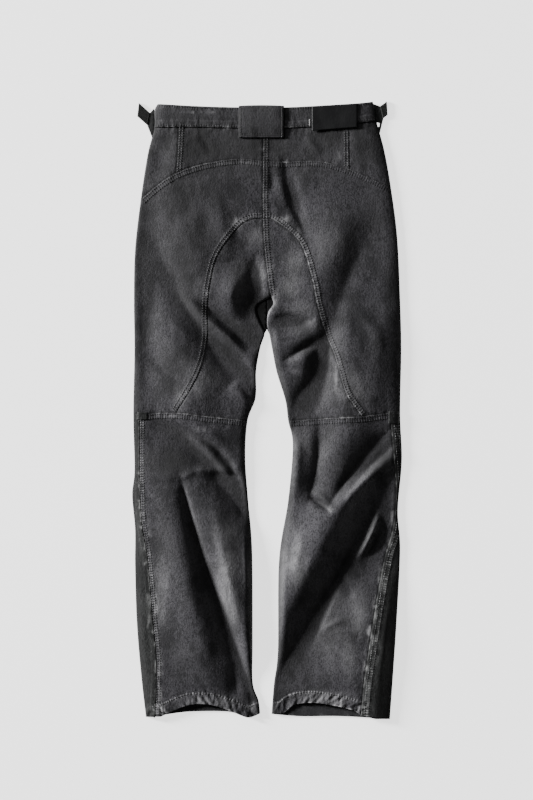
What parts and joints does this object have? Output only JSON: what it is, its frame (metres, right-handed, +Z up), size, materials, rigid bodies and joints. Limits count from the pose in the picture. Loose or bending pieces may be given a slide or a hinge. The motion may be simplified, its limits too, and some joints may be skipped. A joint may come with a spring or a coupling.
{
  "type": "coated jeans laid flat",
  "caption": "Straight coated denim jeans laid flat, back up, with a horseshoe saddle panel, knee seams, side straps and a wide back loop.",
  "frame": {"origin": "centre of the laid garment's bounding box, on the plane of the table", "axes": "+Y from the hems towards the waist, +X towards the wearer's right with the back facing up, +Z up from the table"},
  "size_m": [0.472, 1.0809, 0.0197],
  "materials": {
    "coated_denim": "black coated denim with a waxy half-matt sheen",
    "patch_leather": "smooth dark leather, half matt",
    "button_metal": "darkened metal, satin"
  },
  "bodies": {
    "root": {"waistband_back": "coated_denim", "waistband_front_left": "coated_denim", "waistband_front_right": "coated_denim", "yoke_center_left": "coated_denim", "yoke_center_right": "coated_denim", "yoke_side_left": "coated_denim", "yoke_side_right": "coated_denim", "seat_left": "coated_denim", "seat_right": "coated_denim", "saddle_left": "coated_denim", "saddle_right": "coated_denim", "calf_left": "coated_denim", "calf_right": "coated_denim", "side_strip_left": "coated_denim", "side_strip_right": "coated_denim", "front_left": "coated_denim", "front_right": "coated_denim", "fly_shield": "coated_denim", "center_loop": "coated_denim", "side_strap_left": "coated_denim", "side_strap_right": "coated_denim", "side_tab_left": "coated_denim", "side_tab_right": "coated_denim", "patch": "patch_leather", "waist_button": "button_metal"}
  },
  "joints": []
}
